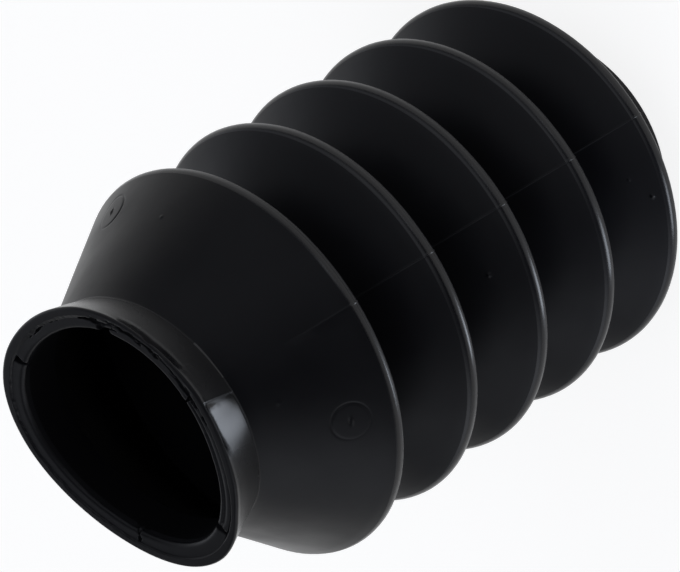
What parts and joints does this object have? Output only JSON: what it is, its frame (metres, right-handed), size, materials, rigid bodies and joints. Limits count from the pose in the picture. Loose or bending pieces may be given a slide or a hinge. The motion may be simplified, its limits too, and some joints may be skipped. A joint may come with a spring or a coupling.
{
  "type": "rubber bellows boot",
  "caption": "One-piece moulded rubber bellows boot, a folded tube with a clamping collar at each end, for covering a moving rod or joint.",
  "frame": {"origin": "middle of the rear end face, which the boot stands on", "axes": "+Z along the common axis of the folds to the front collar; +X towards one of the two mould parting lines; the front collar leans 7 degrees towards -Y"},
  "size_m": [0.09, 0.09, 0.1489],
  "materials": {
    "rubber": "satin moulded black rubber"
  },
  "bodies": {
    "root": {"bellows_boot": "rubber"}
  },
  "joints": []
}
